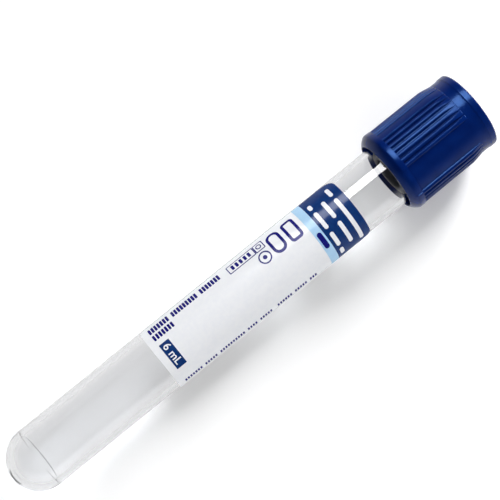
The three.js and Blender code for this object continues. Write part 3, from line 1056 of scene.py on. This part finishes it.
# %% Symbol sizes
LINE = 0.2
BOX_LEFT = -7.6
BOX_RIGHT = -5.25
BOX_FOOT = 56.85
BOX_SPLIT = 63.1
BOX_TOP = 65.57
BLOCKS = 5
BLOCK_START = 57.75
BLOCK_PITCH = 1.0
BLOCK_HEIGHT = 0.6
BLOCK_INSET = 0.52
BLOCK_CORNER = 0.12
RINGS = [(-6.43, 64.42, 0.62, 0.4), (-3.5, 64.07, 1.36, 1.08)]
DOT = (-3.5, 64.07, 0.45)
LOOP_LEFT = -7.2
LOOP_RIGHT = -2.1
LOOP_STROKE = 0.6
LOOPS = [(66.1, 69.1, 1.4, 0.8), (69.95, 72.85, 0.8, 0.3)]


print("symbols:", BLOCKS, "blocks,", len(RINGS), "rings and", len(LOOPS), "loops")

# %% Symbols
def disc_in_mm(x, y, radius):
    return circle(x * MM, y * MM, radius * MM)


def add_frame(left, foot, right, top, stroke, corner, inner_corner):
    """A rounded frame with a stroke of even width."""
    add_band(small_print, box_in_mm(left, foot, right, top, corner),
             box_in_mm(left + stroke, foot + stroke, right - stroke, top - stroke,
                       inner_corner))


for foot, top in ((BOX_FOOT, BOX_SPLIT + LINE), (BOX_SPLIT + 1.2 * LINE, BOX_TOP)):
    add_frame(BOX_LEFT, foot, BOX_RIGHT, top, LINE, LINE, LINE / 4)
for i in range(BLOCKS):
    foot = BLOCK_START + i * BLOCK_PITCH
    add_face(small_print, box_in_mm(BOX_LEFT + BLOCK_INSET, foot, BOX_RIGHT - BLOCK_INSET,
                                    foot + BLOCK_HEIGHT, BLOCK_CORNER))
for x, y, outer, inner in RINGS:
    add_band(small_print, disc_in_mm(x, y, outer), disc_in_mm(x, y, inner))
add_face(small_print, disc_in_mm(*DOT))
for foot, top, corner, inner_corner in LOOPS:
    add_frame(LOOP_LEFT, foot, LOOP_RIGHT, top, LOOP_STROKE, corner, inner_corner)
print_drawing("label_print", small_print, ink_violet)

# %% [markdown]
# ## The written volume
# The tube's volume is the one thing that is written out, in white on a navy block, because
# every label of this kind has it. A text curve is made a flat mesh first, moved to its place
# and wrapped like everything else. A small offset makes the letters bolder.

# %% The written volume
VOLUME_BLOCK = dict(x0=-3.07, y0=37.6, x1=2.73, y1=39.9, corner=0.05)
VOLUME_MIDDLE = (-0.3, 38.7)
TEXT_SIZE = 2.2 * MM
TEXT_BOLDER = 0.03 * MM


def flat_text(words):
    """Words as a flat drawing, centred on the origin."""
    curve = bpy.data.curves.new("volume", "FONT")
    curve.body = words
    curve.size = TEXT_SIZE
    curve.offset = TEXT_BOLDER
    curve.align_x = "CENTER"
    curve.align_y = "CENTER"
    text = new_object("volume", curve)
    evaluated = text.evaluated_get(bpy.context.evaluated_depsgraph_get())
    mesh = bpy.data.meshes.new_from_object(evaluated)
    bpy.data.objects.remove(text)
    return mesh


print_field("volume_block", box_in_mm(**VOLUME_BLOCK), ink_navy)
volume = flat_text("6 mL")
volume.transform(Matrix.Translation([c * MM for c in (*VOLUME_MIDDLE, 0)]))
volume_drawing = bmesh.new()
volume_drawing.from_mesh(volume)
print_over("volume_text", volume_drawing, ink_white)

# %% [markdown]
# ## Camera
# The camera looks down on the tube from about 0.3 m away. Its place is worked out from the
# tube's axis: how far it is from a point on the axis, how far round from the top of the tube
# it stands, how far it leans along the tube, and how the tube slants across the picture.

# %% Camera
LENS = 114.3
SENSOR = 36.0
LOOK_AT = 63.18 * MM
DISTANCE = 310 * MM
LEANS_AWAY = math.radians(4.9)
ROUND_FROM_TOP = math.radians(11.1)
SLANT = math.radians(38.96)
OFF_CENTRE = 5.58 * MM

top = Vector((-axis.z, 0, axis.x))
outward = math.cos(ROUND_FROM_TOP) * top - math.sin(ROUND_FROM_TOP) * side
backward = math.cos(LEANS_AWAY) * outward - math.sin(LEANS_AWAY) * axis
forward = -backward
along_tube = (axis - math.sin(LEANS_AWAY) * forward) / math.cos(LEANS_AWAY)
across_tube = forward.cross(along_tube)
picture_right = math.cos(SLANT) * along_tube + math.sin(SLANT) * across_tube
picture_up = math.sin(SLANT) * along_tube - math.cos(SLANT) * across_tube

camera_data = bpy.data.cameras.new("camera")
camera_data.lens = LENS
camera_data.sensor_width = SENSOR
camera_data.clip_start = 0.01
camera = new_object("camera", camera_data)
look_at = LAY @ Vector((0, 0, LOOK_AT))
place = look_at - OFF_CENTRE * across_tube - DISTANCE * forward
turn = Matrix((picture_right, picture_up, backward)).transposed()
camera.matrix_world = Matrix.Translation(place) @ turn.to_4x4()
bpy.context.scene.camera = camera
print("camera at", [round(c, 4) for c in place])

# %% [markdown]
# ## Floor
# A plain white sweep, as for a catalogue. To the light the floor is an ordinary pale
# surface, so it keeps the tube's shadow. What looks at it is told apart with a Light Path
# node. To the camera, the gloss and the clear wall it glows a little as well. Gloss and the
# clear wall see a part of it as one even level, which keeps the wall's edges smooth. To the
# camera it fades, away from the tube, to the level of the horizon.

# %% Floor material
WHITE = (1, 1, 1, 1)
FLOOR_GLOW = 0.16
EVEN_FLOOR_LEVEL = 0.76
EVEN_FLOOR_SHARE = 0.7
HORIZON_LEVEL = 0.82
FAR_FLOOR_STARTS = 0.12
FAR_FLOOR_ENDS = 0.75


def white_glow(tree, strength):
    """White light given off with a strength that is a number or a socket."""
    return add_node(tree, "ShaderNodeEmission", WHITE, strength).outputs["Emission"]


def make_floor_material():
    material, tree, shader = new_material(
        "floor", Base_Color=(0.93, 0.93, 0.935, 1), Roughness=0.7, Specular_IOR_Level=0.1)
    rays = add_node(tree, "ShaderNodeLightPath").outputs
    bounced = calculate(tree, "MAXIMUM", rays["Is Glossy Ray"], rays["Is Transmission Ray"])
    looking = calculate(tree, "MAXIMUM", rays["Is Camera Ray"], bounced)
    lit = add_node(tree, "ShaderNodeAddShader", shader.outputs["BSDF"],
                   white_glow(tree, calculate(tree, "MULTIPLY", looking, FLOOR_GLOW)))
    near = mix_shaders(tree, calculate(tree, "MULTIPLY", bounced, EVEN_FLOOR_SHARE),
                       lit.outputs["Shader"], white_glow(tree, EVEN_FLOOR_LEVEL))
    place = add_node(tree, "ShaderNodeTexCoord")
    distance = add_node(tree, "ShaderNodeVectorMath", place.outputs["Object"],
                        operation="LENGTH")
    away = add_node(tree, "ShaderNodeMapRange", interpolation_type="SMOOTHSTEP",
                    Value=distance.outputs["Value"], From_Min=FAR_FLOOR_STARTS,
                    From_Max=FAR_FLOOR_ENDS, To_Max=rays["Is Camera Ray"])
    show(tree, mix_shaders(tree, away.outputs["Result"], near,
                           white_glow(tree, HORIZON_LEVEL)))
    return material


# %% Floor
FLOOR_SIZE = 6.0


def make_floor():
    bm = bmesh.new()
    bmesh.ops.create_grid(bm, x_segments=1, y_segments=1, size=FLOOR_SIZE / 2)
    mesh = finished_mesh("floor", bm)
    mesh.transform(Matrix.Translation((0, 0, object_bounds()[0].z)))
    mesh.materials.append(make_floor_material())
    new_object("floor", mesh)


make_floor()
print("floor:", FLOOR_SIZE, "m across")

# %% [markdown]
# ## World
# The world is what the gloss and the clear wall reflect: a pale backdrop that stands round
# the tube and fades up into a dim ceiling. That fade gives the blue plastic its depth. Light
# that fills the shadows comes from an even level instead, and the camera sees the horizon's
# level all round.

# %% World
BACKDROP_LEVEL = 0.6
BACKDROP_TOP = 0.05
CEILING_START = 0.35
CEILING_LEVEL = 0.04
FILL_LEVEL = 0.3


def choose(tree, question, otherwise, level):
    """One strength for the rays that a question picks out, and another for the rest."""
    return add_node(tree, "ShaderNodeMapRange", Value=question, To_Min=otherwise,
                    To_Max=level).outputs["Result"]


def make_world():
    world = bpy.data.worlds.new("studio")
    world.use_nodes = True
    tree = world.node_tree
    direction = add_node(tree, "ShaderNodeTexCoord")
    parts = add_node(tree, "ShaderNodeSeparateXYZ", direction.outputs["Generated"])
    backdrop = add_node(tree, "ShaderNodeMapRange", interpolation_type="SMOOTHSTEP",
                        Value=parts.outputs["Z"], From_Min=BACKDROP_TOP,
                        From_Max=CEILING_START, To_Min=BACKDROP_LEVEL, To_Max=CEILING_LEVEL)
    rays = add_node(tree, "ShaderNodeLightPath").outputs
    level = choose(tree, rays["Is Diffuse Ray"], backdrop.outputs["Result"], FILL_LEVEL)
    level = choose(tree, rays["Is Camera Ray"], level, HORIZON_LEVEL)
    background = tree.nodes["Background"]
    feed(tree, background.inputs["Color"], WHITE)
    feed(tree, background.inputs["Strength"], level)
    bpy.context.scene.world = world


make_world()
print("world:", bpy.context.scene.world.name)

# %% [markdown]
# ## Lamps
# Three soft boxes face the tube, each set by how far along it and how far round from its top
# it stands. The key and the fill light the scene and don't show in anything. The small one
# is only seen in the gloss, as the narrow streak that runs down the tube, and lights nothing
# itself. That way the streak's brightness and the scene's can be set one by one.

# %% Lamps
def add_softbox(name, along, round_from_top, distance, width, length, power, shows=False):
    """An area lamp that faces the tube, with its length along it."""
    data = bpy.data.lights.new(name, "AREA")
    data.shape = "RECTANGLE"
    data.size = length
    data.size_y = width
    data.energy = power
    angle = math.radians(round_from_top)
    direction = math.cos(angle) * Vector((0, 0, 1)) - math.sin(angle) * side
    lamp = new_object(name, data)
    lengthwise = Vector((1, 0, 0))
    facing = Matrix((lengthwise, direction.cross(lengthwise), direction)).transposed()
    place = direction * distance + lengthwise * along
    lamp.matrix_world = Matrix.Translation(place) @ facing.to_4x4()
    lamp.visible_glossy = shows
    lamp.visible_diffuse = not shows
    lamp.visible_transmission = False
    print(name, "at", [round(c, 3) for c in place])


add_softbox("streak_softbox", along=0.27, round_from_top=-24.5, distance=0.6, width=0.3,
            length=0.42, power=7.0, shows=True)
add_softbox("key_softbox", along=1.2, round_from_top=-30, distance=0.68, width=0.45,
            length=0.6, power=46.0)
add_softbox("fill_softbox", along=0.0, round_from_top=68, distance=1.0, width=1.2,
            length=1.5, power=5.6)

# %% [markdown]
# ## Finish
# Colours are shown with the Standard view transform.

# %% Finish
bpy.context.scene.view_settings.view_transform = "Standard"
